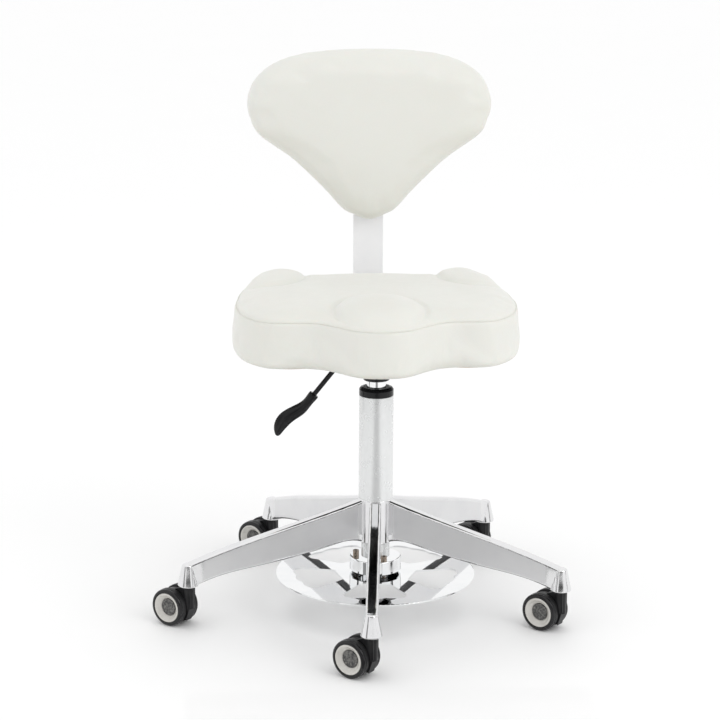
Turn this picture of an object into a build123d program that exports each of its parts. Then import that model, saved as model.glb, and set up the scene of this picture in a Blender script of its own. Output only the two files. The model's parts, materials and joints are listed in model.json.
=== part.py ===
from build123d import *
import os

os.makedirs("parts", exist_ok=True)

# A pedicure stool: five-arm caster base, gas column with a foot disc, scalloped seat and backrest.
# Frame: +Z up, the sitter faces -Y, the origin is on the floor under the column.
# Lengths are in millimetres and angles in degrees.

# ---- Casters ----
wheel_radius = 27.5
wheel_width = 13.4
wheel_gap = 0.6                 # from the housing's side to the wheel's inner face
housing_width = 13.0
fender_gap = 0.8                # between the barrel's scalloped sides and the tyres
housing_radius = 25.0
caster_trail = 25.0             # swivel axis to wheel axle
caster_heading = -38.5          # direction of rolling, from +X
barrel_radius = 8.5             # the housing's round barrel about the stem
stem_radius = 5.5
stem_insertion = 25.0           # stem length inside the arm's socket
barrel_depth = 20.0             # stem length inside the barrel
rim_radius = 21.6
rim_lip = 3.2                   # flat ring at the rim's outer edge
rim_web_width = 5.6             # rim thickness round the axle
axle_radius = 3.0
cap_radius = 12.3               # push-on cap at each end of the axle
cap_thickness = 2.4
swivel_gap = 0.5                # between barrel top and arm
running_clearance = 0.05        # radial, between a shaft and its hole

# ---- Star base ----
arm_count = 5
base_yaw = -4.4                 # turn of the first arm from straight ahead
stem_circle_radius = 281.4
arm_width = 17.0
arm_edge_radius = 4.0
arm_foot_height = 6.5           # arm socket above the top of the wheels
socket_radius = 15.5            # foot of the flared caster socket
socket_height = 33.0
hub_radius = 24.5
hub_height = 65.5
hub_lift = 43.5                 # hub bottom above the arm sockets' foot

# ---- Column ----
tube_radius = 25.0
tube_wall = 2.0
tube_length = 155.5             # above the hub
tail_radius = 20.5              # turned-down part inside and below the hub
tail_wall = 4.0
tail_drop = 23.5                # tail below the hub
tail_web = 4.0
web_lift = 10.5                 # web above the tail's end
bush_depth = 86.0
bush_collar_height = 12.0
cylinder_radius = 14.0
cylinder_wall = 2.0
cylinder_exposed = 10.6         # bright length between bush and seat socket at rest
cylinder_length = 211.0
cylinder_guide = 10.0           # plug at the cylinder's lower end, round the rod
cylinder_head = 16.0            # solid head with the button's bore
taper_length = 17.4             # cone that wedges in the seat socket
taper_reduction = 0.9           # loss of radius along the cone
rod_radius = 5.0
rod_bore = 2.5
rod_length = 230.0
piston_height = 10.0
piston_clearance = 0.1
bearing_radius = 12.0
bearing_height = 6.0
shoulder_radius = 9.0
shoulder_height = 2.0
clip_thickness = 1.4
clip_radius = 8.0
rod_tail = 4.0                  # rod below the web

# ---- Foot control ----
foot_disc_radius = 146.0
foot_disc_thickness = 2.5
foot_disc_yaw = -3.5
cutout_inner = 56.0             # straight inner edge of a cut-out, from the axis
cutout_inner_half = 22.0
cutout_side_half = 45.5
cutout_side_at = 100.0
cutout_outer = 120.5            # crest of each scallop
scallop_radius = 28.0
scallop_step = 15.5             # angle between scallops
cup_radius = 37.5
cup_wall = 2.5
cup_height = 19.5
cup_gap = 5.5                   # between cup rim and disc
guide_count = 3
guide_yaw = 22.5
guide_circle_radius = 28.5
guide_radius = 3.0
guide_head_radius = 4.5
guide_head_height = 6.5
guide_hole_clearance = 1.0
nut_gap = 2.7                   # room for the disc's tilt above the nuts
nut_across = 10.0
nut_height = 5.0
spring_outer = 6.0
spring_inner = 4.2
pin_radius = 4.0
pin_tip_radius = 2.2
pin_tip_length = 20.0
pin_gap = 0.5                   # between rocker and pin
rocker_radius = 5.5
rocker_rise = 2.0               # above the disc
rocker_drop = 5.0               # below the disc's top
disc_hole_radius = 9.0
trunnion_radius = 0.8           # the rocker's pins along Y, in the edge of the disc's hole
trunnion_depth = 2.0            # trunnion length inside the disc
hanger_radius = 1.45            # the pin along X that carries the rocker
hanger_leg_x = 6.9
hanger_leg_radius = 1.2

# ---- Seat mechanism and release lever ----
seat_socket_radius = 18.8
mechanism_height = 35.9         # from the socket's mouth to the plate's underside
plate_thickness = 3.5
plate_width = 160.0
plate_length = 175.0
plate_back_shift = 7.5
plate_corner = 14.0
seat_bolt_x = 62.0
seat_bolt_y = 68.0
bolt_radius = 3.0
bolt_head_radius = 5.5
bolt_head_height = 4.0
lever_radius = 3.5
lever_axis_drop = 7.5           # rod axis below the plate's underside
lever_inner = 2.5               # rod's end past the column's axis
lever_pivot_x = -24.0
lever_bend_x = -50.2
lever_slope = 51.6              # fall of the outer part
lever_bend_radius = 14.0
lever_outer = 80.0              # bend to the rod's end
lever_slot_half = 4.6
lug_thickness = 3.3
lug_half_length = 6.0
pivot_pin_radius = 2.0
button_radius = 4.0
button_nub_radius = 2.5
button_gap = 0.4
button_shoulder = 4.0           # button above the cylinder's head
button_sink = 14.0              # button inside the head
handle_mouth = 63.5             # bend to the handle's mouth
handle_socket_radius = 7.5
handle_socket_length = 26.0
handle_thickness = 14.0
handle_edge_radius = 1.5
# Paddle outline: distance from the mouth along the rod, and offset to the upper side.
paddle_outline = [
    (17.0, 7.0), (28.0, 11.0), (40.0, 16.7), (54.0, 21.0), (67.0, 19.9), (76.5, 14.5),
    (82.0, 6.5), (80.0, 0.5), (66.0, 0.8), (49.0, -1.5), (29.0, -7.5), (17.0, -7.0),
]

# ---- Seat ----
seat_half_width = 208.0
seat_front = 158.0
seat_rear = 207.0
seat_thickness = 75.0
seat_bottom_round = 14.0
seat_top_round = 5.0
seat_board_thickness = 12.0
seat_board_inset = 15.0
# Half outline as shares of half width and of the reach to the front (negative) or the rear.
seat_half_outline = [
    (0.0, -1.0), (0.18, -0.95), (0.32, -0.77), (0.42, -0.655), (0.53, -0.615), (0.65, -0.625),
    (0.775, -0.595), (0.885, -0.46), (0.965, -0.25), (1.0, 0.03), (0.99, 0.26), (0.957, 0.49),
    (0.894, 0.72), (0.803, 0.905), (0.69, 0.995), (0.56, 0.99), (0.46, 0.97), (0.29, 0.98), (0.0, 1.0),
]

# ---- Back bar and backrest ----
bar_width = 45.0
bar_thickness = 6.0
bar_start_y = 28.0
bar_face_y = 229.0              # front face of the upright part
bar_bend_radius = 22.0          # at the middle of the bar's thickness
bar_top_drop = 95.0             # bar's end below the backrest's top
bar_bolt_y = (45.0, 75.0)
backrest_half_width = 185.0
backrest_height = 260.0
backrest_lift = 76.0            # backrest's lower tip above the seat's top
backrest_thickness = 49.0
backrest_round = 18.0
shell_thickness = 6.0
shell_inset = 13.0
screw_spacing = 60.0
screw_radius = 2.5
screw_head_radius = 5.0
screw_head_height = 2.5
# Half outline as shares of half width and of height, from the lower tip to the top.
backrest_half_outline = [
    (0.0, 0.0), (0.115, 0.02), (0.225, 0.068), (0.31, 0.142), (0.45, 0.25), (0.63, 0.368),
    (0.785, 0.44), (0.915, 0.51), (0.975, 0.60), (0.997, 0.70), (0.955, 0.80), (0.865, 0.875),
    (0.74, 0.93), (0.58, 0.967), (0.39, 0.988), (0.0, 1.0),
]

# ---- Heights that follow from the sizes above ----
arm_foot_z = 2 * wheel_radius + arm_foot_height
hub_bottom = arm_foot_z + hub_lift
hub_top = hub_bottom + hub_height
tube_top = hub_top + tube_length
collar_top = tube_top + bush_collar_height
socket_mouth = collar_top + cylinder_exposed
cylinder_top = socket_mouth + taper_length
cylinder_bottom = cylinder_top - cylinder_length
plate_bottom = socket_mouth + mechanism_height
plate_top = plate_bottom + plate_thickness
seat_top = plate_top + seat_thickness
backrest_bottom = seat_top + backrest_lift
backrest_top = backrest_bottom + backrest_height
tail_bottom = hub_bottom - tail_drop
web_bottom = tail_bottom + web_lift
web_top = web_bottom + tail_web
rod_bottom = web_bottom - rod_tail
cup_top = tail_bottom
cup_bottom = cup_top - cup_height
disc_top = cup_bottom - cup_gap
disc_bottom = disc_top - foot_disc_thickness
disc_middle = disc_top - foot_disc_thickness / 2
lever_z = plate_bottom - lever_axis_drop
bar_z = plate_bottom - bar_thickness / 2
bar_y = bar_face_y + bar_thickness / 2
bar_top = backrest_top - bar_top_drop

ON_BASE = (Align.CENTER, Align.CENTER, Align.MIN)


def keep(part, name):
    """Label one finished piece and write it as its own STEP file."""
    part.label = name
    export_step(part, f"parts/{name}.step")


def both_sides(half_outline, reach_x, reach_low, reach_high):
    """Points of a closed outline from the half outline's shares of its reaches."""
    half = [(x * reach_x, y * (reach_low if y < 0 else reach_high)) for x, y in half_outline]
    return half + [(-x, y) for x, y in reversed(half[1:-1])]


# ======== Casters, modelled once with the stem on Z and rolling towards +X ========

wheel_inner = housing_width / 2 + wheel_gap
wheel_outer = wheel_inner + wheel_width
barrel_top = arm_foot_z - swivel_gap
stem_bottom = barrel_top - barrel_depth
axle_plane = Plane(origin=(-caster_trail, 0, wheel_radius), x_dir=(1, 0, 0), z_dir=(0, 1, 0))
rim_web_outer = wheel_inner + rim_web_width
web_reach = barrel_radius - 1.2         # the flat web stays inside the barrel's surface

with BuildPart() as caster_housing:
    with BuildSketch(Plane.XZ):
        with Locations((-caster_trail, wheel_radius)):
            Circle(housing_radius)
        with BuildLine():
            Polyline(
                (-caster_trail, wheel_radius + housing_radius - 1),
                (-web_reach, barrel_top - 1.5),
                (web_reach, barrel_top - 1.5),
                (web_reach, wheel_radius + 4),
                (0, wheel_radius / 3),
                (-caster_trail, wheel_radius),
                close=True,
            )
        make_face()
    extrude(amount=housing_width / 2, both=True)
    with Locations((0, 0, wheel_radius)):
        Cylinder(barrel_radius, barrel_top - wheel_radius, align=ON_BASE)
    for side in (-1, 1):
        with Locations(axle_plane.offset(side * (housing_width + barrel_radius) / 2)):
            Cylinder(wheel_radius + fender_gap, barrel_radius, mode=Mode.SUBTRACT)
    with Locations((0, 0, stem_bottom - 1)):
        Cylinder(stem_radius + running_clearance, barrel_depth + 1, align=ON_BASE, mode=Mode.SUBTRACT)
    with Locations(axle_plane):
        Cylinder(axle_radius, housing_width, mode=Mode.SUBTRACT)

with BuildPart() as caster_axle:
    with Locations(axle_plane):
        Cylinder(axle_radius, 2 * rim_web_outer + 2)
    for side in (-1, 1):
        with Locations(axle_plane.offset(side * (rim_web_outer + 0.5 + cap_thickness / 2))):
            Cylinder(cap_radius, cap_thickness)


def wheel_rim(side):
    """Dished rim of one wheel, on the side given as -1 or 1."""
    with BuildPart() as rim:
        with BuildSketch(Plane(axle_plane.origin, x_dir=(1, 0, 0), z_dir=(0, 0, side))):
            with BuildLine():
                Polyline(
                    (axle_radius + running_clearance, wheel_inner),
                    (rim_radius, wheel_inner),
                    (rim_radius, wheel_outer),
                    (rim_radius - rim_lip, wheel_outer),
                    (cap_radius + 0.5, rim_web_outer + 2.5),
                    (cap_radius + 0.5, rim_web_outer),
                    (axle_radius + running_clearance, rim_web_outer),
                    close=True,
                )
            make_face()
        revolve(axis=Axis(axle_plane.origin, (0, 1, 0)))
    return rim.part


def wheel_tyre(side):
    """Tyre of one wheel, on the side given as -1 or 1."""
    middle = side * (wheel_inner + wheel_outer) / 2
    with BuildPart() as tyre:
        with Locations(axle_plane.offset(middle)):
            Cylinder(wheel_radius, wheel_width)
            Cylinder(rim_radius, wheel_width, mode=Mode.SUBTRACT)
        rims = tyre.edges().filter_by(GeomType.CIRCLE).group_by(SortBy.RADIUS)[-1]
        outside = rims.sort_by(Axis.Y)[-1 if side > 0 else 0]
        inside = rims.sort_by(Axis.Y)[0 if side > 0 else -1]
        fillet(outside, radius=2.6)
        fillet(inside, radius=1.0)
    return tyre.part


arm_angles = [base_yaw - 90 + i * 360 / arm_count for i in range(arm_count)]
stem_places = [Vector(stem_circle_radius, 0, 0).rotate(Axis.Z, angle) for angle in arm_angles]
caster_pieces = {
    "housing": caster_housing.part,
    "axle": caster_axle.part,
    "rim_left": wheel_rim(1),
    "rim_right": wheel_rim(-1),
    "tyre_left": wheel_tyre(1),
    "tyre_right": wheel_tyre(-1),
}
for number, place in enumerate(stem_places, start=1):
    for kind, piece in caster_pieces.items():
        keep(piece.moved(Location(place, (0, 0, caster_heading))), f"caster_{number}_{kind}")

with BuildPart() as caster_stems:
    with BuildSketch(Plane.XY.offset(stem_bottom)):
        with PolarLocations(stem_circle_radius, arm_count, start_angle=arm_angles[0]):
            Circle(stem_radius)
    extrude(amount=arm_foot_z + stem_insertion - stem_bottom)
keep(caster_stems.part, "caster_stems")

# ======== Star base ========

# Side outline of an arm along +X: a long falling ridge and a curved underside.
arm_end = stem_circle_radius
arm_top_end = arm_foot_z + socket_height
with BuildPart() as arm:
    with BuildSketch(Plane.XZ):
        with BuildLine():
            ridge = Spline(
                (tail_radius, hub_top - 1),
                (0.31 * arm_end, hub_top - 20.5),
                (0.74 * arm_end, arm_top_end + 23.5),
                (arm_end, arm_top_end),
            )
            end = Line(ridge @ 1, (arm_end, arm_foot_z + 1))
            foot = Line(end @ 1, (arm_end - 12, arm_foot_z + 1))
            belly = Spline(
                foot @ 1,
                (0.885 * arm_end, arm_foot_z + 8.5),
                (0.6 * arm_end, arm_foot_z + 23),
                (0.24 * arm_end, hub_bottom - 1),
                (0.15 * arm_end, hub_bottom + 3.5),
                (tail_radius, hub_bottom),
            )
            Line(belly @ 1, ridge @ 0)
        make_face()
    extrude(amount=arm_width / 2, both=True)
    long_edges = arm.edges().filter_by(GeomType.BSPLINE)
    fillet(long_edges, radius=arm_edge_radius)

with BuildPart() as socket:
    with Locations((stem_circle_radius, 0, arm_foot_z)):
        Cone(socket_radius, arm_width / 2, socket_height, align=ON_BASE)
    fillet(socket.edges().sort_by(Axis.Z)[-1], radius=arm_edge_radius)
    fillet(socket.edges().filter_by(GeomType.CIRCLE).sort_by(Axis.Z)[0], radius=1.5)

with BuildPart() as base_star:
    with Locations((0, 0, hub_bottom)):
        Cylinder(hub_radius, hub_height, align=ON_BASE)
    fillet(base_star.edges().filter_by(GeomType.CIRCLE), radius=1.2)
    with PolarLocations(0, arm_count, start_angle=arm_angles[0]):
        add(arm.part)
        add(socket.part)
    Cylinder(tail_radius, 3 * hub_top, mode=Mode.SUBTRACT)
    with BuildSketch(Plane.XY.offset(arm_foot_z)):
        with PolarLocations(stem_circle_radius, arm_count, start_angle=arm_angles[0]):
            Circle(stem_radius)
    extrude(amount=stem_insertion, mode=Mode.SUBTRACT)
keep(base_star.part, "base_star")

# ======== Column ========

tube_bore = tube_radius - tube_wall
tail_bore = tail_radius - tail_wall
with BuildPart() as column_tube:
    with BuildSketch(Plane.XZ):
        with BuildLine():
            Polyline(
                (rod_radius + running_clearance, web_bottom),
                (tail_bore, web_bottom),
                (tail_bore, tail_bottom),
                (tail_radius, tail_bottom),
                (tail_radius, hub_top),
                (tube_radius, hub_top),
                (tube_radius, tube_top),
                (tube_bore, tube_top),
                (tube_bore, hub_top + tail_wall),
                (tail_bore, hub_top),
                (tail_bore, web_top),
                (rod_radius + running_clearance, web_top),
                close=True,
            )
        make_face()
    revolve(axis=Axis.Z)
    fillet(column_tube.edges().group_by(Axis.Z)[-1], radius=0.6)
keep(column_tube.part, "column_tube")

bush_bore = cylinder_radius + running_clearance
with BuildPart() as column_bush:
    with BuildSketch(Plane.XZ):
        with BuildLine():
            Polyline(
                (bush_bore, tube_top - bush_depth),
                (tube_bore, tube_top - bush_depth),
                (tube_bore, tube_top),
                (tube_radius, tube_top),
                (tube_radius, collar_top - 3.5),
                (tube_radius - 1.5, collar_top - 1.5),
                (cylinder_radius + 5, collar_top),
                (bush_bore + 1, collar_top),
                (bush_bore, collar_top - 1),
                close=True,
            )
        make_face()
    revolve(axis=Axis.Z)
keep(column_bush.part, "column_bush")

taper_top_radius = cylinder_radius - taper_reduction
cylinder_bore = cylinder_radius - cylinder_wall
with BuildPart() as gas_cylinder:
    with BuildSketch(Plane.XZ):
        with BuildLine():
            Polyline(
                (rod_radius + running_clearance, cylinder_bottom),
                (cylinder_radius - 1, cylinder_bottom),
                (cylinder_radius, cylinder_bottom + 1),
                (cylinder_radius, socket_mouth),
                (taper_top_radius, cylinder_top),
                (button_radius + running_clearance, cylinder_top),
                (button_radius + running_clearance, cylinder_top - cylinder_head),
                (cylinder_bore, cylinder_top - cylinder_head),
                (cylinder_bore, cylinder_bottom + cylinder_guide),
                (rod_radius + running_clearance, cylinder_bottom + cylinder_guide),
                close=True,
            )
        make_face()
    revolve(axis=Axis.Z)
keep(gas_cylinder.part, "gas_cylinder")

piston_radius = cylinder_bore - piston_clearance
rod_top = rod_bottom + rod_length
shoulder_bottom = web_top + bearing_height
with BuildPart() as gas_rod:
    with BuildSketch(Plane.XZ):
        with BuildLine():
            Polyline(
                (rod_bore, rod_bottom),
                (rod_radius, rod_bottom),
                (rod_radius, shoulder_bottom),
                (shoulder_radius, shoulder_bottom),
                (shoulder_radius, shoulder_bottom + shoulder_height),
                (rod_radius, shoulder_bottom + shoulder_height),
                (rod_radius, rod_top - piston_height),
                (piston_radius, rod_top - piston_height),
                (piston_radius, rod_top),
                (rod_bore, rod_top),
                close=True,
            )
        make_face()
    revolve(axis=Axis.Z)
keep(gas_rod.part, "gas_rod")

with BuildPart() as thrust_bearing:
    with Locations((0, 0, web_top)):
        Cylinder(bearing_radius, bearing_height, align=ON_BASE)
        Cylinder(rod_radius + running_clearance, bearing_height, align=ON_BASE, mode=Mode.SUBTRACT)
keep(thrust_bearing.part, "thrust_bearing")

with BuildPart() as rod_clip:
    with BuildSketch(Plane.XY.offset(web_bottom - clip_thickness - 0.4)):
        Circle(clip_radius)
        Circle(rod_radius, mode=Mode.SUBTRACT)
        with Locations((clip_radius / 2, 0)):
            Rectangle(clip_radius + 4, rod_radius, mode=Mode.SUBTRACT)
    extrude(amount=clip_thickness)
keep(rod_clip.part, "rod_clip")

# ======== Foot control ========

scallop_centre = cutout_outer - scallop_radius
with BuildSketch() as cutout:
    with BuildLine():
        Polyline(
            (cutout_inner, -cutout_inner_half),
            (cutout_inner, cutout_inner_half),
            (cutout_side_at, cutout_side_half),
            (cutout_outer, cutout_side_half - 2),
            (cutout_outer, 2 - cutout_side_half),
            (cutout_side_at, -cutout_side_half),
            close=True,
        )
    make_face()
    with BuildSketch(mode=Mode.INTERSECT):
        with Locations((cutout_side_at / 2 + 2, 0)):
            Rectangle(cutout_side_at, 3 * cutout_side_half)
        for step in (-1, 0, 1):
            with Locations(Vector(scallop_centre, 0).rotate(Axis.Z, step * scallop_step)):
                Circle(scallop_radius)
    inner_corners = cutout.vertices().group_by(Axis.X)[0]
    fillet(inner_corners, radius=7)

with BuildPart() as foot_disc:
    with BuildSketch(Plane.XY.offset(disc_bottom)):
        Circle(foot_disc_radius)
        Circle(disc_hole_radius, mode=Mode.SUBTRACT)
        with PolarLocations(guide_circle_radius, guide_count, start_angle=guide_yaw - 90):
            Circle(guide_radius + guide_hole_clearance, mode=Mode.SUBTRACT)
        with PolarLocations(0, arm_count, start_angle=foot_disc_yaw - 90):
            add(cutout.sketch, mode=Mode.SUBTRACT)
    extrude(amount=foot_disc_thickness)
    rim_edges = foot_disc.edges().filter_by(GeomType.CIRCLE).group_by(SortBy.RADIUS)[-1]
    fillet(rim_edges, radius=1.0)
    with BuildSketch(Plane.XZ):
        with Locations((0, disc_middle)):
            Circle(trunnion_radius + running_clearance)
    extrude(amount=disc_hole_radius + trunnion_depth, both=True, mode=Mode.SUBTRACT)
keep(foot_disc.part, "foot_disc")

with BuildPart() as foot_cup:
    with Locations((0, 0, cup_bottom)):
        Cylinder(cup_radius, cup_height, align=ON_BASE)
    fillet(foot_cup.edges().group_by(Axis.Z)[-1], radius=1.2)
    with Locations((0, 0, cup_bottom)):
        Cylinder(cup_radius - cup_wall, cup_height - cup_wall, align=ON_BASE, mode=Mode.SUBTRACT)
        Cylinder(pin_radius + running_clearance, cup_height, align=ON_BASE, mode=Mode.SUBTRACT)
    with BuildSketch(Plane.XY.offset(cup_top - cup_wall)):
        with PolarLocations(guide_circle_radius, guide_count, start_angle=guide_yaw - 90):
            Circle(guide_radius)
    extrude(amount=cup_wall, mode=Mode.SUBTRACT)
keep(foot_cup.part, "foot_cup")

nut_top = disc_bottom - nut_gap
with BuildPart() as foot_guide_bolts:
    with BuildSketch(Plane.XY.offset(nut_top - nut_height)):
        with PolarLocations(guide_circle_radius, guide_count, start_angle=guide_yaw - 90):
            Circle(guide_radius)
    extrude(amount=cup_top - nut_top + nut_height)
    with BuildSketch(Plane.XY.offset(cup_top)):
        with PolarLocations(guide_circle_radius, guide_count, start_angle=guide_yaw - 90):
            Circle(guide_head_radius)
    extrude(amount=guide_head_height)
    with BuildSketch(Plane.XY.offset(cup_top + guide_head_height / 2)):
        with PolarLocations(guide_circle_radius, guide_count, start_angle=guide_yaw - 90):
            RegularPolygon(guide_radius - 0.5, 6)
    extrude(amount=guide_head_height, mode=Mode.SUBTRACT)
keep(foot_guide_bolts.part, "foot_guide_bolts")

with BuildPart() as foot_nuts:
    with BuildSketch(Plane.XY.offset(nut_top - nut_height)):
        with PolarLocations(guide_circle_radius, guide_count, start_angle=guide_yaw - 90):
            RegularPolygon(nut_across / 2, 6, major_radius=False)
            Circle(guide_radius, mode=Mode.SUBTRACT)
    extrude(amount=nut_height)
keep(foot_nuts.part, "foot_nuts")

with BuildPart() as foot_springs:
    with BuildSketch(Plane.XY.offset(disc_top)):
        with PolarLocations(guide_circle_radius, guide_count, start_angle=guide_yaw - 90):
            Circle(spring_outer)
            Circle(spring_inner, mode=Mode.SUBTRACT)
    extrude(amount=cup_top - cup_wall - disc_top)
keep(foot_springs.part, "foot_springs")

rocker_top = disc_top + rocker_rise
with BuildPart() as foot_rocker:
    with Locations((0, 0, disc_top - rocker_drop)):
        Cylinder(rocker_radius, rocker_drop + rocker_rise, align=ON_BASE)
    fillet(foot_rocker.edges().group_by(Axis.Z)[-1], radius=1.2)
    with BuildSketch(Plane.XZ):
        with Locations((0, disc_middle)):
            Circle(trunnion_radius)
    extrude(amount=disc_hole_radius + trunnion_depth - running_clearance, both=True)
    with BuildSketch(Plane.YZ):
        with Locations((0, disc_middle)):
            Circle(hanger_radius + running_clearance)
    extrude(amount=2 * rocker_radius, both=True, mode=Mode.SUBTRACT)
keep(foot_rocker.part, "foot_rocker")

with BuildPart() as foot_hanger:
    with BuildSketch(Plane.YZ):
        with Locations((0, disc_middle)):
            Circle(hanger_radius)
    extrude(amount=hanger_leg_x + hanger_leg_radius, both=True)
    with Locations((-hanger_leg_x, 0, disc_middle), (hanger_leg_x, 0, disc_middle)):
        Cylinder(hanger_leg_radius, cup_top - cup_wall - disc_middle, align=ON_BASE)
keep(foot_hanger.part, "foot_hanger")

pin_bottom = rocker_top + pin_gap
pin_shoulder = rod_bottom - 4
with BuildPart() as foot_release_pin:
    with Locations((0, 0, pin_bottom)):
        Cylinder(pin_radius, pin_shoulder - pin_bottom, align=ON_BASE)
    fillet(foot_release_pin.edges().group_by(Axis.Z)[0], radius=1.5)
    with Locations((0, 0, pin_shoulder)):
        Cylinder(pin_tip_radius, pin_tip_length, align=ON_BASE)
keep(foot_release_pin.part, "foot_release_pin")

# ======== Seat mechanism ========

bolt_places = [(x, plate_back_shift + y) for x in (-seat_bolt_x, seat_bolt_x) for y in (-seat_bolt_y, seat_bolt_y)]
with BuildPart() as seat_mechanism:
    with BuildSketch(Plane.XY.offset(plate_bottom)):
        with Locations((0, plate_back_shift)):
            RectangleRounded(plate_width, plate_length, plate_corner)
        with Locations(*bolt_places):
            Circle(bolt_radius, mode=Mode.SUBTRACT)
        with Locations(*[(0, y) for y in bar_bolt_y]):
            Circle(bolt_radius, mode=Mode.SUBTRACT)
    extrude(amount=plate_thickness)
    with Locations((0, 0, socket_mouth)):
        Cylinder(seat_socket_radius, mechanism_height, align=ON_BASE)
    with Locations((lever_pivot_x, 0, lever_z)):
        Box(2 * lug_half_length, 2 * (lever_slot_half + lug_thickness), 2 * lever_axis_drop)
    with Locations((0, 0, socket_mouth)):
        Cone(cylinder_radius, taper_top_radius, taper_length, align=ON_BASE, mode=Mode.SUBTRACT)
    with Locations((0, 0, cylinder_top)):
        Cylinder(cylinder_radius, plate_bottom - cylinder_top, align=ON_BASE, mode=Mode.SUBTRACT)
    with Locations((lever_pivot_x, 0, lever_z)):
        Box(30, 2 * lever_slot_half, 2 * lever_axis_drop, mode=Mode.SUBTRACT)
    with BuildSketch(Plane.XZ):
        with Locations((lever_pivot_x, lever_z)):
            Circle(pivot_pin_radius)
    extrude(amount=20, both=True, mode=Mode.SUBTRACT)
keep(seat_mechanism.part, "seat_mechanism")

with BuildPart() as lever_pivot_pin:
    with BuildSketch(Plane.XZ):
        with Locations((lever_pivot_x, lever_z)):
            Circle(pivot_pin_radius)
    extrude(amount=lever_slot_half + lug_thickness + 1, both=True)
keep(lever_pivot_pin.part, "lever_pivot_pin")

with BuildPart() as release_button:
    with Locations((0, 0, cylinder_top - button_sink)):
        Cylinder(button_radius, button_sink + button_shoulder, align=ON_BASE)
    with Locations((0, 0, cylinder_top + button_shoulder)):
        nub_height = lever_z - lever_radius - button_gap - cylinder_top - button_shoulder
        Cylinder(button_nub_radius, nub_height, align=ON_BASE)
keep(release_button.part, "release_button")

with BuildPart() as seat_bolts:
    with BuildSketch(Plane.XY.offset(plate_bottom)):
        with Locations(*bolt_places):
            Circle(bolt_radius)
    extrude(amount=plate_thickness + seat_board_thickness - 1)
    with BuildSketch(Plane.XY.offset(plate_bottom - bolt_head_height)):
        with Locations(*bolt_places):
            RegularPolygon(bolt_head_radius, 6)
    extrude(amount=bolt_head_height)
keep(seat_bolts.part, "seat_bolts")

# ======== Release lever ========

outward = Vector(-1, 0, 0).rotate(Axis.Y, -lever_slope)
bend = Vector(lever_bend_x, 0, lever_z)
rod_end = bend + outward * lever_outer
mouth = bend + outward * handle_mouth
with BuildPart() as lever_rod:
    with BuildLine() as lever_path:
        FilletPolyline((lever_inner, 0, lever_z), bend, rod_end, radius=lever_bend_radius)
    with BuildSketch(Plane(origin=lever_path.line @ 0, z_dir=lever_path.line % 0)):
        Circle(lever_radius)
    sweep()
    with BuildSketch(Plane.XZ):
        with Locations((lever_pivot_x, lever_z)):
            Circle(pivot_pin_radius + running_clearance)
    extrude(amount=2 * lever_radius, both=True, mode=Mode.SUBTRACT)
keep(lever_rod.part, "lever_rod")

# The paddle lies in the plane of the rod, with its upper side towards +Z.
paddle_plane = Plane(origin=mouth, x_dir=outward, z_dir=(0, -1, 0))
with BuildPart() as lever_handle:
    with BuildSketch(paddle_plane):
        with BuildLine():
            paddle_edge = Spline(*[(along, -up) for along, up in paddle_outline])
            Line(paddle_edge @ 1, paddle_edge @ 0)
        make_face()
    extrude(amount=handle_thickness / 2, both=True)
    fillet(lever_handle.edges().filter_by(GeomType.BSPLINE), radius=handle_edge_radius)
    with BuildSketch(Plane(origin=mouth, z_dir=outward)):
        Circle(handle_socket_radius)
    extrude(amount=handle_socket_length)
    with BuildSketch(Plane(origin=mouth, z_dir=outward)):
        Circle(lever_radius)
    extrude(amount=lever_outer - handle_mouth, mode=Mode.SUBTRACT)
keep(lever_handle.part, "lever_handle")

# ======== Seat ========


def seat_outline(inset):
    """Closed face of the seat's plan, drawn in from its edge."""
    reaches = (seat_half_width - inset, seat_front - inset, seat_rear - inset)
    with BuildSketch() as outline:
        with BuildLine():
            Spline(*both_sides(seat_half_outline, *reaches), periodic=True)
        make_face()
    return outline.sketch


with BuildPart() as seat_board:
    with BuildSketch(Plane.XY.offset(plate_top)):
        add(seat_outline(seat_board_inset))
        with Locations(*bolt_places):
            Circle(bolt_radius, mode=Mode.SUBTRACT)
    extrude(amount=seat_board_thickness)
keep(seat_board.part, "seat_board")

with BuildPart() as seat_cushion:
    with BuildSketch(Plane.XY.offset(plate_top)):
        add(seat_outline(0))
    extrude(amount=seat_thickness)
    fillet(seat_cushion.edges().group_by(Axis.Z)[0], radius=seat_bottom_round)
    fillet(seat_cushion.edges().group_by(Axis.Z)[-1], radius=seat_top_round)
    with BuildSketch(Plane.XY.offset(plate_top)):
        add(seat_outline(seat_board_inset))
    extrude(amount=seat_board_thickness, mode=Mode.SUBTRACT)
keep(seat_cushion.part, "seat_cushion")

# ======== Back bar and backrest ========

screw_places = [(x, backrest_bottom + backrest_height * 0.45 + z)
                for x in (-bar_width / 4, bar_width / 4) for z in (-screw_spacing / 2, screw_spacing / 2)]
with BuildPart() as back_bar:
    with BuildLine() as bar_path:
        FilletPolyline((0, bar_start_y, bar_z), (0, bar_y, bar_z), (0, bar_y, bar_top), radius=bar_bend_radius)
    with BuildSketch(Plane(origin=bar_path.line @ 0, x_dir=(1, 0, 0), z_dir=(0, 1, 0))):
        Rectangle(bar_width, bar_thickness)
    sweep()
    fillet(back_bar.edges().filter_by(Axis.Y).group_by(Axis.Z)[-1], radius=10)
    with BuildSketch(Plane.XY.offset(plate_bottom)):
        with Locations(*[(0, y) for y in bar_bolt_y]):
            Circle(bolt_radius)
    extrude(amount=-bar_thickness, mode=Mode.SUBTRACT)
    with BuildSketch(Plane.XZ.offset(-bar_face_y)):
        with Locations(*screw_places):
            Circle(screw_radius)
    extrude(amount=-bar_thickness, mode=Mode.SUBTRACT)
keep(back_bar.part, "back_bar")

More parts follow.
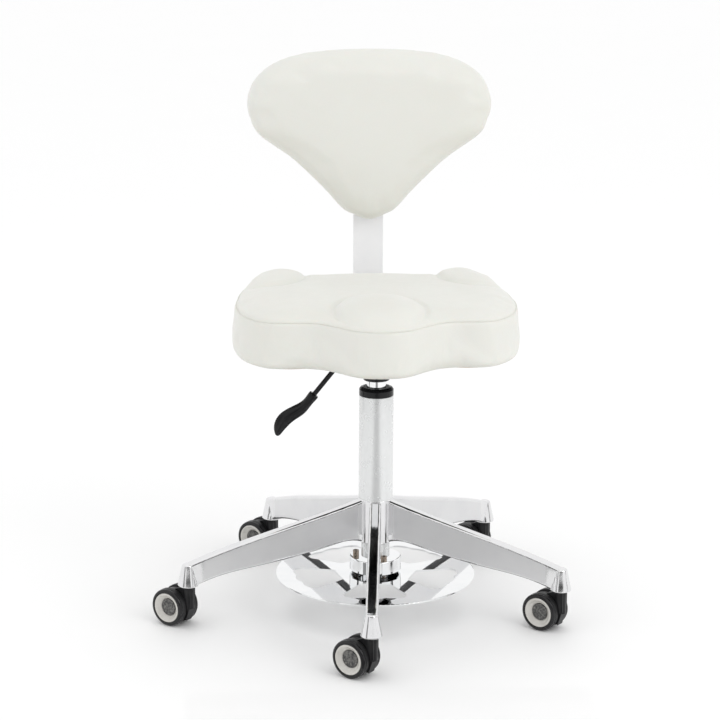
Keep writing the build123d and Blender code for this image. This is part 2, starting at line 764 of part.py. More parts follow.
with BuildPart() as back_bar_bolts:
    with BuildSketch(Plane.XY.offset(plate_top)):
        with Locations(*[(0, y) for y in bar_bolt_y]):
            Circle(bolt_radius)
    extrude(amount=-plate_thickness - bar_thickness)
    with BuildSketch(Plane.XY.offset(plate_bottom - bar_thickness)):
        with Locations(*[(0, y) for y in bar_bolt_y]):
            RegularPolygon(bolt_head_radius, 6)
    extrude(amount=-bolt_head_height)
keep(back_bar_bolts.part, "back_bar_bolts")


def backrest_outline(inset):
    """Closed face of the backrest's front view, drawn in from its edge."""
    points = both_sides(backrest_half_outline, backrest_half_width - inset, 0, backrest_height - 2 * inset)
    with BuildSketch() as outline:
        with BuildLine():
            Spline(*[(x, backrest_bottom + inset + z) for x, z in points], periodic=True)
        make_face()
    return outline.sketch


shell_plane = Plane.XZ.offset(-bar_face_y)
with BuildPart() as backrest_shell:
    with BuildSketch(shell_plane):
        add(backrest_outline(shell_inset))
        with Locations(*screw_places):
            Circle(screw_radius, mode=Mode.SUBTRACT)
    extrude(amount=shell_thickness)
keep(backrest_shell.part, "backrest_shell")

with BuildPart() as backrest_cushion:
    with BuildSketch(shell_plane):
        add(backrest_outline(0))
    extrude(amount=backrest_thickness)
    fillet(backrest_cushion.edges().group_by(Axis.Y)[0], radius=backrest_round)
    fillet(backrest_cushion.edges().group_by(Axis.Y)[-1], radius=shell_inset / 2)
    with BuildSketch(shell_plane):
        add(backrest_outline(shell_inset))
    extrude(amount=shell_thickness, mode=Mode.SUBTRACT)
keep(backrest_cushion.part, "backrest_cushion")

with BuildPart() as backrest_screws:
    with BuildSketch(Plane.XZ.offset(-bar_face_y - bar_thickness)):
        with Locations(*screw_places):
            Circle(screw_radius)
    extrude(amount=bar_thickness + shell_thickness)
    with BuildSketch(Plane.XZ.offset(-bar_face_y - bar_thickness)):
        with Locations(*screw_places):
            Circle(screw_head_radius)
    extrude(amount=-screw_head_height)
keep(backrest_screws.part, "backrest_screws")
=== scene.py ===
"""Looks of a pedicure stool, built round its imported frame.

Lengths are in metres, +Z is up, and the sitter faces -Y.
"""
import json
import logging
import math
from dataclasses import dataclass, field
from enum import Enum
from typing import Sequence

import bmesh
import bpy
from mathutils import Matrix, Vector
from mathutils.bvhtree import BVHTree
from mathutils.kdtree import KDTree


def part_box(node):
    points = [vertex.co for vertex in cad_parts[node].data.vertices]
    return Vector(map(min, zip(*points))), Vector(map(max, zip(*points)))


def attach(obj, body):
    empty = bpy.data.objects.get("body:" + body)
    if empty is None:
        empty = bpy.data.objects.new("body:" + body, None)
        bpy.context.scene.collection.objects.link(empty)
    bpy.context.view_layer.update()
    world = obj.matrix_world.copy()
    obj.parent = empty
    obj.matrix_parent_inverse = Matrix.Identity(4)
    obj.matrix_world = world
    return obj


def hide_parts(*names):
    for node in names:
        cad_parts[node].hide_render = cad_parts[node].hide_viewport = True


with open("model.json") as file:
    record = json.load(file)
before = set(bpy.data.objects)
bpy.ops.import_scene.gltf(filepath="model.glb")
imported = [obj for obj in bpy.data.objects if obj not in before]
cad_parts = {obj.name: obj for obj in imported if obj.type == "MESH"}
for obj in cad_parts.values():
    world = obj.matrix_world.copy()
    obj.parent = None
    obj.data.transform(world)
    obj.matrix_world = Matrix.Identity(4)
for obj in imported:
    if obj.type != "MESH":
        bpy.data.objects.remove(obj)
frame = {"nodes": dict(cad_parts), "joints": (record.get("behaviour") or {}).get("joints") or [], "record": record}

LOG = logging.getLogger("pedicure_stool")
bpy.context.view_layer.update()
MM = 0.001
Colour = tuple[float, float, float]
Input = "Value | float | Sequence[float]"


# ---- Shaders ----

class Value:
    """A shader socket that Python expressions work on."""

    def __init__(self, sheet: "Sheet", socket: bpy.types.NodeSocket) -> None:
        """Keeps the sheet that the socket's node stands in."""
        self.sheet = sheet
        self.socket = socket

    def math(self, operation: str, *values: "Value | float") -> "Value":
        """Adds one Math node over the given values."""
        return self.sheet.node("ShaderNodeMath", {"operation": operation}, list(values))

    def __add__(self, other: "Value | float") -> "Value":
        """Sum."""
        return self.math("ADD", self, other)

    def __sub__(self, other: "Value | float") -> "Value":
        """Difference."""
        return self.math("SUBTRACT", self, other)

    def __rsub__(self, other: "Value | float") -> "Value":
        """Difference from a number."""
        return self.math("SUBTRACT", other, self)

    def __mul__(self, other: "Value | float") -> "Value":
        """Product."""
        return self.math("MULTIPLY", self, other)

    def __pow__(self, power: float) -> "Value":
        """Power."""
        return self.math("POWER", self, power)

    def __abs__(self) -> "Value":
        """Size without its sign."""
        return self.math("ABSOLUTE", self)

    def sine(self) -> "Value":
        """Sine of the value in radians."""
        return self.math("SINE", self)

    __radd__ = __add__
    __rmul__ = __mul__

    def ramp(self, low: float, high: float, start: float = 0.0, end: float = 1.0) -> "Value":
        """Maps the range low..high smoothly to start..end.

        Args:
            low: Value that gives start.
            high: Value that gives end.
            start: Result at and below low.
            end: Result at and above high.

        Returns:
            The mapped value.
        """
        settings = {"interpolation_type": "SMOOTHSTEP"}
        return self.sheet.node("ShaderNodeMapRange", settings, [self, low, high, start, end])


class Sheet:
    """The node tree of one material, and the one method that adds nodes to it."""

    def __init__(self, name: str) -> None:
        """Starts an empty material of that name."""
        self.material = bpy.data.materials.new(name)
        self.material.use_nodes = True
        self.tree = self.material.node_tree
        self.tree.nodes.clear()

    def node(self, kind: str, settings: dict | None = None, inputs: dict | list | None = None,
             output: int | str = 0) -> Value:
        """Adds one node.

        Args:
            kind: Node type.
            settings: Properties of the node, which are set before its sockets.
            inputs: Values or links, by socket name or in socket order.
            output: The output that is handed back.

        Returns:
            The chosen output as a value.
        """
        made = self.tree.nodes.new(kind)
        for key, value in (settings or {}).items():
            setattr(made, key, value)
        pairs = inputs.items() if isinstance(inputs, dict) else enumerate(inputs or [])
        for key, value in pairs:
            if isinstance(value, Value):
                self.tree.links.new(value.socket, made.inputs[key])
            else:
                made.inputs[key].default_value = value
        return Value(self, made.outputs[output])

    def place(self, stretch: Colour = (1.0, 1.0, 1.0)) -> Value:
        """Object coordinates, scaled along each axis."""
        where = self.node("ShaderNodeTexCoord", output="Object")
        return self.node("ShaderNodeMapping", inputs={"Vector": where, "Scale": stretch})

    def noise(self, scale: float, detail: float = 3.0, stretch: Colour = (1.0, 1.0, 1.0)) -> Value:
        """Cloudy pattern from 0 to 1, of that many waves per metre."""
        inputs = {"Vector": self.place(stretch), "Scale": scale, "Detail": detail, "Roughness": 0.55}
        return self.node("ShaderNodeTexNoise", {"noise_dimensions": "3D"}, inputs)

    def cells(self, scale: float) -> Value:
        """Distance to the borders of small random cells, of that many per metre."""
        inputs = {"Vector": self.place(), "Scale": scale}
        return self.node("ShaderNodeTexVoronoi", {"feature": "DISTANCE_TO_EDGE"}, inputs)

    def axis(self, index: int, output: str = "Object") -> Value:
        """One component of the object coordinates, or of the surface's own direction."""
        where = self.node("ShaderNodeTexCoord", output=output)
        return self.node("ShaderNodeSeparateXYZ", inputs=[where], output=index)

    def blend(self, factor: Value, first: "Value | Colour", second: "Value | Colour") -> Value:
        """Colour that goes from the first to the second as the factor rises."""
        pair = [c if isinstance(c, Value) else (*c, 1.0) for c in (first, second)]
        inputs = {0: factor, 6: pair[0], 7: pair[1]}
        return self.node("ShaderNodeMix", {"data_type": "RGBA"}, inputs, output=2)

    def bump(self, height: Value, depth: float, below: Value | None = None) -> Value:
        """Surface direction disturbed by a height pattern that is depth metres deep."""
        inputs = {"Height": height, "Distance": depth, "Strength": 1.0}
        if below:
            inputs["Normal"] = below
        return self.node("ShaderNodeBump", inputs=inputs)

    def finish(self, **inputs: "Input") -> bpy.types.Material:
        """Closes the sheet with the main shader.

        Args:
            inputs: Values of the shader's sockets, with underscores for spaces in their names.

        Returns:
            The finished material.
        """
        named = {key.replace("_", " "): value for key, value in inputs.items()}
        shader = self.node("ShaderNodeBsdfPrincipled", {}, named)
        self.node_output(shader)
        return self.material

    def node_output(self, shader: Value) -> None:
        """Joins a shader to the material's output."""
        end = self.tree.nodes.new("ShaderNodeOutputMaterial")
        self.tree.links.new(shader.socket, end.inputs[0])


MADE: dict[str, bpy.types.Material] = {}


class Grain(Enum):
    """Fine relief of a surface."""

    CLOUDY = "cloudy"
    PEBBLED = "pebbled"
    DRAWN_UPRIGHT = "drawn upright"
    TURNED = "turned"


@dataclass(frozen=True)
class Finish:
    """A moulded, painted or metal finish."""

    name: str
    colour: Colour
    tint: Colour
    roughness: tuple[float, float]
    metallic: float = 0.0
    cloud_scale: float = 22.0
    grain: Grain = Grain.CLOUDY
    grain_scale: float = 900.0
    grain_depth: float = 0.00001
    coat: float = 0.0
    sheen: float = 0.0
    specular: float = 0.5

    def shared(self) -> bpy.types.Material:
        """The finish's one material, built when it is first asked for."""
        if self.name not in MADE:
            MADE[self.name] = self.material()
        return MADE[self.name]

    def relief(self, sheet: Sheet) -> Value:
        """Height pattern of the finish's grain."""
        if self.grain is Grain.PEBBLED:
            return sheet.cells(self.grain_scale)
        if self.grain is Grain.DRAWN_UPRIGHT:
            return sheet.noise(self.grain_scale, 2.0, (1.0, 1.0, 0.02))
        if self.grain is Grain.TURNED:
            return sheet.noise(self.grain_scale, 2.0, (0.02, 0.02, 1.0))
        return sheet.noise(self.grain_scale, 4.0)

    def colours(self, sheet: Sheet) -> Value:
        """Base colour, with slow clouds of the tint."""
        return sheet.blend(sheet.noise(self.cloud_scale).ramp(0.35, 0.75), self.colour, self.tint)

    def material(self) -> bpy.types.Material:
        """Builds the material with its colour, gloss and relief."""
        sheet = Sheet(self.name)
        wear = sheet.noise(self.cloud_scale * 2.7, 5.0).ramp(0.3, 0.7, *self.roughness)
        return sheet.finish(
            Base_Color=self.colours(sheet),
            Metallic=self.metallic,
            Roughness=wear,
            Coat_Weight=self.coat,
            Coat_Roughness=0.06,
            Sheen_Weight=self.sheen,
            Specular_IOR_Level=self.specular,
            Normal=sheet.bump(self.relief(sheet), self.grain_depth),
        )


@dataclass(frozen=True)
class VinylFinish(Finish):
    """Smooth upholstery vinyl: soft pebble grain over broad, faint tone changes; painted shade on sides,
    undersides and grain grooves.
    """

    # Colour of the painted shade that the sides, undersides and grain grooves are blended towards.
    shade: Colour = (0.63, 0.62, 0.545)

    def material(self) -> bpy.types.Material:
        """Builds the vinyl."""
        sheet = Sheet(self.name)
        pebble = sheet.cells(self.grain_scale).ramp(0.0, 0.28)
        creases = sheet.noise(60.0, 5.0)
        slow = self.colours(sheet)
        # Painted shade: faces that turn sideways or downwards are blended up to halfway towards the shade colour.
        painted_underside_shade = sheet.axis(2, "Normal").ramp(-0.9, 0.1, 1.0, 0.0) * 0.5
        # Painted shade in the grooves between the pebbles of the grain.
        painted_pore_shade = (1.0 - pebble) * 0.10
        colour = sheet.blend(painted_pore_shade, sheet.blend(painted_underside_shade, slow, self.shade), self.shade)
        rough = creases.ramp(0.3, 0.7, *self.roughness) + pebble * -0.05
        soft = sheet.bump(creases, 0.00025)
        return sheet.finish(
            Base_Color=colour,
            Roughness=rough,
            Coat_Weight=self.coat,
            Coat_Roughness=0.30,
            Sheen_Weight=self.sheen,
            Subsurface_Weight=0.05,
            Subsurface_Scale=0.004,
            Normal=sheet.bump(pebble, self.grain_depth, soft),
        )


@dataclass(frozen=True)
class CastFinish(Finish):
    """Polished casting whose undersides are left rough and unpolished from the mould, and coloured near-black as
    painted shade for the dark hollows under the arms.
    """

    # Near-black painted shade of the undersides, with the downward tilts of the surface at which it starts and at
    # which it is full.
    painted_hollow_shade: Colour = (0.045, 0.045, 0.048)
    hollow_shade_from: float = -0.55
    hollow_shade_to: float = -0.72
    flank_roughness: float = 0.42
    flank_reach: float = 0.255
    hub_reach: float = 0.027

    def material(self) -> bpy.types.Material:
        """Builds the polished metal with its rough underside and the underside's painted shade."""
        sheet = Sheet(self.name)
        # Undersides above about 66 mm: rough, less metallic, with painted shade as their near-black colour.
        below = sheet.axis(2, "Normal").ramp(self.hollow_shade_to, self.hollow_shade_from, 1.0, 0.0)
        lifted = sheet.axis(2).ramp(0.064, 0.068)
        raw_and_painted_shade = below * lifted
        polish = sheet.noise(35.0, 5.0).ramp(0.3, 0.7, *self.roughness)
        upright = abs(sheet.axis(2, "Normal")).ramp(0.10, 0.45, 1.0, 0.0)
        away = (sheet.axis(0) ** 2 + sheet.axis(1) ** 2) ** 0.5
        beyond_hub = away.ramp(self.hub_reach, 1.3 * self.hub_reach)
        before_flare = away.ramp(self.flank_reach, self.flank_reach + 0.012, 1.0, 0.0)
        flank = upright * beyond_hub * before_flare
        sand = sheet.noise(1400.0, 2.0)
        return sheet.finish(
            Base_Color=sheet.blend(raw_and_painted_shade, self.colours(sheet), self.painted_hollow_shade),
            Metallic=1.0 - raw_and_painted_shade * 0.9,
            Roughness=polish + raw_and_painted_shade * 0.45 + flank * self.flank_roughness,
            Normal=sheet.bump(self.relief(sheet) + sand * raw_and_painted_shade * 40.0, self.grain_depth),
        )


@dataclass(frozen=True)
class PlyFinish(Finish):
    """Bare plywood: veneers on the edge and long grain on the faces."""

    veneers: float = 650.0

    def material(self) -> bpy.types.Material:
        """Builds the wood."""
        sheet = Sheet(self.name)
        grain = sheet.noise(90.0, 6.0, (0.12, 1.0, 1.0))
        layers = (sheet.axis(2) * (self.veneers * math.pi)).sine()
        mask = grain.ramp(0.3, 0.7) * 0.6 + layers.ramp(-0.3, 0.3) * 0.4
        return sheet.finish(
            Base_Color=sheet.blend(mask, self.colour, self.tint),
            Roughness=grain.ramp(0.2, 0.8, *self.roughness),
            Normal=sheet.bump(grain, 0.0002),
        )


IVORY = VinylFinish("ivory_vinyl", (0.765, 0.765, 0.720), (0.745, 0.744, 0.695), (0.42, 0.52), coat=0.18,
                    sheen=0.08, cloud_scale=9.0, grain_scale=760.0, grain_depth=0.00006)
SEAM_THREAD = Finish("seam_thread", (0.76, 0.755, 0.70), (0.70, 0.695, 0.64), (0.5, 0.65), grain_scale=2600.0,
                     grain_depth=0.00008)
LINING = Finish("black_lining", (0.012, 0.012, 0.013), (0.03, 0.03, 0.032), (0.85, 0.97), grain=Grain.PEBBLED,
                grain_scale=900.0, grain_depth=0.0003, sheen=0.3, cloud_scale=160.0, specular=0.1)
GLOSS_TYRE = Finish("tyre_shoulder", (0.008, 0.008, 0.009), (0.014, 0.014, 0.015), (0.10, 0.18),
                    grain_scale=500.0, grain_depth=0.00002, coat=0.12, specular=0.3)
TREAD = Finish("tyre_tread", (0.016, 0.016, 0.017), (0.03, 0.03, 0.031), (0.34, 0.5), grain_scale=1500.0,
               grain_depth=0.00005, cloud_scale=70.0, specular=0.25)
STAPLE = Finish("staple_steel", (0.55, 0.55, 0.56), (0.42, 0.42, 0.43), (0.3, 0.45), metallic=1.0)

SLOT_FINISHES: dict[str, Finish] = {
    "polished_aluminium": CastFinish("polished_aluminium", (0.79, 0.79, 0.795), (0.76, 0.76, 0.77),
                                     (0.06, 0.09), metallic=1.0, grain_scale=300.0, grain_depth=0.000001),
    "satin_tube": Finish("satin_tube", (0.80, 0.81, 0.81), (0.78, 0.79, 0.79), (0.24, 0.28), metallic=0.45,
                         grain=Grain.DRAWN_UPRIGHT, grain_scale=150.0, grain_depth=0.0000005),
    "black_plastic": Finish("black_plastic", (0.010, 0.010, 0.011), (0.018, 0.018, 0.019), (0.16, 0.26),
                            coat=0.05, grain_scale=1300.0, grain_depth=0.00003, specular=0.22),
    "chrome": Finish("chrome", (0.90, 0.905, 0.91), (0.86, 0.87, 0.88), (0.02, 0.05), metallic=1.0,
                     grain_scale=160.0, grain_depth=0.000004),
    "bearing_steel": Finish("bearing_steel", (0.62, 0.62, 0.63), (0.50, 0.50, 0.51), (0.22, 0.36),
                            metallic=1.0, grain=Grain.TURNED, grain_scale=2400.0, grain_depth=0.00003),
    "bronzed_screws": Finish("bronzed_screws", (0.40, 0.33, 0.27), (0.25, 0.20, 0.16), (0.20, 0.36),
                             metallic=1.0, cloud_scale=260.0, grain_scale=1800.0, grain_depth=0.00002),
    "spring_steel": Finish("spring_steel", (0.30, 0.30, 0.31), (0.18, 0.18, 0.185), (0.16, 0.30),
                           metallic=1.0, cloud_scale=180.0, grain_scale=1800.0, grain_depth=0.00002),
    "black_steel": Finish("black_steel", (0.012, 0.012, 0.013), (0.022, 0.022, 0.023), (0.24, 0.36), coat=0.1,
                          grain=Grain.PEBBLED, grain_scale=1700.0, grain_depth=0.00004, specular=0.25),
    "plywood": PlyFinish("plywood", (0.52, 0.36, 0.20), (0.34, 0.21, 0.11), (0.6, 0.8)),
    "white_powder_coat": Finish("white_powder_coat", (0.90, 0.90, 0.92), (0.87, 0.87, 0.895), (0.34, 0.44),
                                grain=Grain.PEBBLED, grain_scale=1500.0, grain_depth=0.00004, coat=0.1),
    "white_plastic": Finish("white_plastic", (0.80, 0.80, 0.79), (0.77, 0.77, 0.76), (0.36, 0.48),
                            grain=Grain.PEBBLED, grain_scale=1100.0, grain_depth=0.00005),
    "caster_black": Finish("caster_black", (0.011, 0.011, 0.012), (0.022, 0.022, 0.023), (0.28, 0.40),
                           grain_scale=1500.0, grain_depth=0.00004, cloud_scale=60.0, specular=0.2),
    "caster_cap": Finish("caster_cap", (0.05, 0.05, 0.05), (0.22, 0.215, 0.205), (0.35, 0.6),
                         cloud_scale=330.0, grain_scale=700.0, grain_depth=0.00025, specular=0.25),
    "wheel_grey": Finish("wheel_grey", (0.62, 0.605, 0.57), (0.54, 0.525, 0.49), (0.26, 0.38), coat=0.2,
                         cloud_scale=80.0, grain_scale=1400.0, grain_depth=0.00003),
    "tyre_black": GLOSS_TYRE,
    "ivory_vinyl": IVORY,
}


# ---- Meshes ----

def smooth_loop(points: Sequence[tuple[float, float]], count: int) -> list[Vector]:
    """Evenly spaced points on the smooth closed curve through the given ones.

    Args:
        points: Points of the loop, in order.
        count: Number of points handed back.

    Returns:
        The points, as plane vectors.
    """
    corners = [Vector(p) for p in points]
    total = len(corners)
    fine = []
    for i in range(total):
        before, here, after, later = (corners[(i + k) % total] for k in (-1, 0, 1, 2))
        for step in range(24):
            t = step / 24
            fine.append(0.5 * (2 * here + (after - before) * t
                               + (2 * before - 5 * here + 4 * after - later) * t ** 2
                               + (3 * here - before - 3 * after + later) * t ** 3))
    lengths = [0.0]
    for a, b in zip(fine, fine[1:] + fine[:1]):
        lengths.append(lengths[-1] + (b - a).length)
    fine.append(fine[0])
    even, at = [], 0
    for i in range(count):
        target = lengths[-1] * i / count
        while lengths[at + 1] < target:
            at += 1
        share = (target - lengths[at]) / (lengths[at + 1] - lengths[at])
        even.append(fine[at].lerp(fine[at + 1], share))
    return even


def drawn_in(loop: Sequence[Vector], inset: float) -> list[Vector]:
    """The loop moved inwards by the inset, square to itself."""
    moved = []
    for i, point in enumerate(loop):
        along = (loop[(i + 1) % len(loop)] - loop[i - 1]).normalized()
        moved.append(point + Vector((-along.y, along.x)) * inset)
    return moved


def row_edges(bm: bmesh.types.BMesh, row: Sequence[bmesh.types.BMVert]) -> list[bmesh.types.BMEdge]:
    """Edges that close a row of vertices into a ring."""
    return [bm.edges.get((row[i - 1], row[i])) for i in range(len(row))]


def loft(bm: bmesh.types.BMesh, rings: Sequence[Sequence[Vector]]) -> None:
    """Skins closed rings of equal length, extruding each ring from the last.

    Args:
        bm: Mesh that receives the skin. Rings drawn to one point close it.
        rings: Points of each ring, in order.
    """
    row = bmesh.ops.create_circle(bm, cap_ends=False, radius=1.0, segments=len(rings[0]))["verts"]
    for vert, place in zip(row, rings[0]):
        vert.co = place
    for ring in rings[1:]:
        made = bmesh.ops.extrude_edge_only(bm, edges=row_edges(bm, row))["geom"]
        fresh = {v for v in made if isinstance(v, bmesh.types.BMVert)}
        row = [next(e.other_vert(v) for e in v.link_edges if e.other_vert(v) in fresh) for v in row]
        for vert, place in zip(row, ring):
            vert.co = place


def sealed(bm: bmesh.types.BMesh, gap: float = 1e-6) -> None:
    """Merges doubled vertices and turns every face outwards."""
    bmesh.ops.remove_doubles(bm, verts=bm.verts, dist=gap)
    bmesh.ops.recalc_face_normals(bm, faces=bm.faces)


def piece(name: str, bm: bmesh.types.BMesh, *finishes: Finish) -> bpy.types.Object:
    """Makes a smooth-shaded object of a finished mesh.

    Args:
        name: Name of the object.
        bm: Its mesh, which is freed.
        finishes: Finish of each material index.

    Returns:
        The linked object.
    """
    mesh = bpy.data.meshes.new(name)
    bm.to_mesh(mesh)
    bm.free()
    made = bpy.data.objects.new(name, mesh)
    bpy.context.scene.collection.objects.link(made)
    for finish in finishes:
        mesh.materials.append(finish.shared())
    for face in mesh.polygons:
        face.use_smooth = True
    return made


def baked(obj: bpy.types.Object) -> None:
    """Replaces an object's mesh by what its modifiers make of it."""
    mesh = bpy.data.meshes.new_from_object(obj.evaluated_get(bpy.context.evaluated_depsgraph_get()))
    obj.modifiers.clear()
    obj.data = mesh
    for face in mesh.polygons:
        face.use_smooth = True


def placed(obj: bpy.types.Object, places: Sequence[Vector]) -> None:
    """Gives an object's vertices new places, in their order."""
    obj.data.vertices.foreach_set("co", [part for place in places for part in place])
    obj.data.update()


def eased(value: float, low: float, high: float) -> float:
    """Smooth step from 0 at low to 1 at high."""
    t = min(max((value - low) / (high - low), 0.0), 1.0)
    return t * t * (3 - 2 * t)


def tube_along(bm: bmesh.types.BMesh, path: Sequence[Vector], radius: float, sides: int,
               closed: bool) -> None:
    """Skins a round thread along a path.

    Args:
        bm: Mesh that receives the thread.
        path: Its middle line.
        radius: Its radius.
        sides: Number of sides.
        closed: Whether the path comes back to its start.
    """
    rings = []
    count = len(path)
    for i, point in enumerate(path):
        after = path[(i + 1) % count] if closed or i < count - 1 else point
        before = path[i - 1] if closed or i else point
        along = (after - before).normalized()
        side = along.cross(Vector((0, 0, 1)) if abs(along.z) < 0.9 else Vector((1, 0, 0))).normalized()
        rise = side.cross(along)
        turns = [2 * math.pi * k / sides for k in range(sides)]
        rings.append([point + (side * math.cos(a) + rise * math.sin(a)) * radius for a in turns])
    rings = rings + [rings[0]] if closed else [[path[0]] * sides] + rings + [[path[-1]] * sides]
    loft(bm, rings)


# ---- Cushions ----

class Facing(Enum):
    """Direction in which a cushion's crown points."""

    UP = "up"
    FRONT = "front"


@dataclass
class Cushion:
    """A padded piece: a crowned closed form, swollen as cloth, then shaped by given moves and sewn."""

    name: str = "cushion"
    node: str = "seat_cushion"
    facing: Facing = Facing.UP
    half_outline: tuple[tuple[float, float], ...] = ()
    centre: tuple[float, float] = (0.0, 0.0)
    profile: tuple[tuple[float, float], ...] = ()
    crown_rings: tuple[tuple[float, float], ...] = ()
    crown_from: float = 18 * MM
    voxel: float = 5 * MM
    swell: float = 3.0 * MM
    seam_level: float = 0.0
    seam_radius: float = 0.7 * MM
    seam_depth: float = 0.6 * MM
    seam_width: float = 2.4 * MM
    ring_points: int = 180
    base_shares: tuple[float, ...] = (0.35, 0.7)
    pressure: float = 4.0
    cloth_mass: float = 0.3
    swell_frames: int = 20
    smoothing_passes: int = 3
    fill: float = 0.85
    outline: list[Vector] = field(default_factory=list)

    def __post_init__(self) -> None:
        """Reads the box of the node that the cushion stands for."""
        self.low, self.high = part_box(self.node)

    def lifted(self, flat: Vector, level: float) -> Vector:
        """Places a point of the outline's plane at a level along the crown's direction."""
        if self.facing is Facing.UP:
            return Vector((flat.x, flat.y, level))
        return Vector((flat.x, level, flat.y))

    def closed_form(self) -> bpy.types.Object:
        """Lofts the plain crowned form from its rings.

        Returns:
            The form, without its swell.
        """
        both = list(self.half_outline) + [(-x, y) for x, y in reversed(self.half_outline[1:-1])]
        self.outline = smooth_loop(both, self.ring_points)
        middle = Vector(self.centre)
        rings = [[self.lifted(middle, self.profile[0][1])] * self.ring_points]
        for share in self.base_shares:
            base = drawn_in(self.outline, self.profile[0][0])
            rings.append([self.lifted(middle.lerp(p, share), self.profile[0][1]) for p in base])
        for inset, level in self.profile:
            rings.append([self.lifted(p, level) for p in drawn_in(self.outline, inset)])
        brow = drawn_in(self.outline, self.crown_from)
        for share, level in self.crown_rings:
            rings.append([self.lifted(middle.lerp(p, share), level) for p in brow])
        bm = bmesh.new()
        loft(bm, rings)
        sealed(bm)
        return piece(self.name, bm, IVORY)

    def pinned(self, place: Vector) -> bool:
        """Whether a point of the form is held while the cushion swells."""
        if self.facing is Facing.UP:
            return place.z < self.low.z + 9 * MM
        return place.y > self.high.y - 8 * MM

    def swollen(self, obj: bpy.types.Object) -> None:
        """Remeshes the form evenly and inflates it as pinned cloth, capping how far a point moves.

        Args:
            obj: The form, whose mesh is replaced.
        """
        voxels = obj.modifiers.new("voxels", "REMESH")
        voxels.mode = "VOXEL"
        voxels.voxel_size = self.voxel
        baked(obj)
        rest = [v.co.copy() for v in obj.data.vertices]
        held = obj.vertex_groups.new(name="held")
        held.add([i for i, co in enumerate(rest) if self.pinned(co)], 1.0, "REPLACE")
        cloth = obj.modifiers.new("cloth", "CLOTH")
        cloth.settings.use_pressure = True
        cloth.settings.uniform_pressure_force = self.pressure
        cloth.settings.quality = 4
        cloth.settings.mass = self.cloth_mass
        cloth.settings.effector_weights.gravity = 0.0
        cloth.settings.vertex_group_mass = held.name
        scene = bpy.context.scene
        for step in range(1, self.swell_frames + 1):
            scene.frame_set(step)
        graph = bpy.context.evaluated_depsgraph_get()
        puffed = bpy.data.meshes.new_from_object(obj.evaluated_get(graph))
        moves = [end.co - start for start, end in zip(rest, puffed.vertices)]
        caps = [min(1.0, self.swell / max(move.length, 1e-9)) for move in moves]
        placed(obj, [start + move * cap for start, move, cap in zip(rest, moves, caps)])
        obj.modifiers.clear()
        obj.vertex_groups.clear()
        scene.frame_set(1)
        bm = bmesh.new()
        bm.from_mesh(obj.data)
        for _ in range(self.smoothing_passes):
            bmesh.ops.smooth_vert(bm, verts=bm.verts, factor=0.5,
                                  use_axis_x=True, use_axis_y=True, use_axis_z=True)
        bm.to_mesh(obj.data)
        bm.free()
        finer = obj.modifiers.new("finer", "SUBSURF")
        finer.levels = finer.render_levels = 1
        baked(obj)

    def moulded(self, place: Vector, normal: Vector, rim: float) -> Vector:
        """Extra move of one point of the swollen form; the plain cushion has none."""
        return Vector((0, 0, 0))

    def shaped(self, obj: bpy.types.Object) -> None:
        """Moves the dense mesh's points by the cushion's own moulding."""
        tree = KDTree(4 * len(self.outline))
        edge = smooth_loop([tuple(p) for p in self.outline[::2]], 4 * len(self.outline))
        for i, p in enumerate(edge):
            tree.insert((p.x, p.y, 0.0), i)
        tree.balance()
        moved = []
        for vert in obj.data.vertices:
            flat = (vert.co.x, vert.co.y if self.facing is Facing.UP else vert.co.z, 0.0)
            moved.append(vert.co + self.moulded(vert.co, vert.normal, tree.find(flat)[2]))
        placed(obj, moved)

    def sewn(self, obj: bpy.types.Object, inset: float) -> bpy.types.Object:
        """Sinks a seam round the form and lays its thread in it.

        Args:
            obj: The shaped cushion.
            inset: How far inside the outline the seam's start points lie.

        Returns:
            The thread.
        """
        bm = bmesh.new()
        bm.from_mesh(obj.data)
        surface = BVHTree.FromBMesh(bm)
        bm.free()
        start = smooth_loop([tuple(p) for p in drawn_in(self.outline, inset)[::2]], 3 * len(self.outline))
        path = [surface.find_nearest(self.lifted(p, self.seam_level))[0] for p in start]
        path = [(path[i - 1] + p + path[(i + 1) % len(path)]) / 3 for i, p in enumerate(path)]
        tree = KDTree(len(path))
        for i, p in enumerate(path):
            tree.insert(p, i)
        tree.balance()
        sunk = []
        for vert in obj.data.vertices:
            depth = self.seam_depth * math.exp(-(tree.find(vert.co)[2] / self.seam_width) ** 2)
            sunk.append(vert.co - vert.normal * depth)
        placed(obj, sunk)
        bm = bmesh.new()
        tube_along(bm, path, self.seam_radius, 6, closed=True)
        sealed(bm, 1e-7)
        return piece(f"{self.name}_seam", bm, SEAM_THREAD)

    def build(self) -> bpy.types.Object:
        """Builds the whole cushion, without its seam."""
        obj = self.closed_form()
        self.swollen(obj)
        self.shaped(obj)
        return obj

    def dress(self, obj: bpy.types.Object, thread: bpy.types.Object) -> None:
        """Ties the cushion and its thread to the frame."""
        for made in (obj, thread):
            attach(made, "seat")
        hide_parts(self.node)


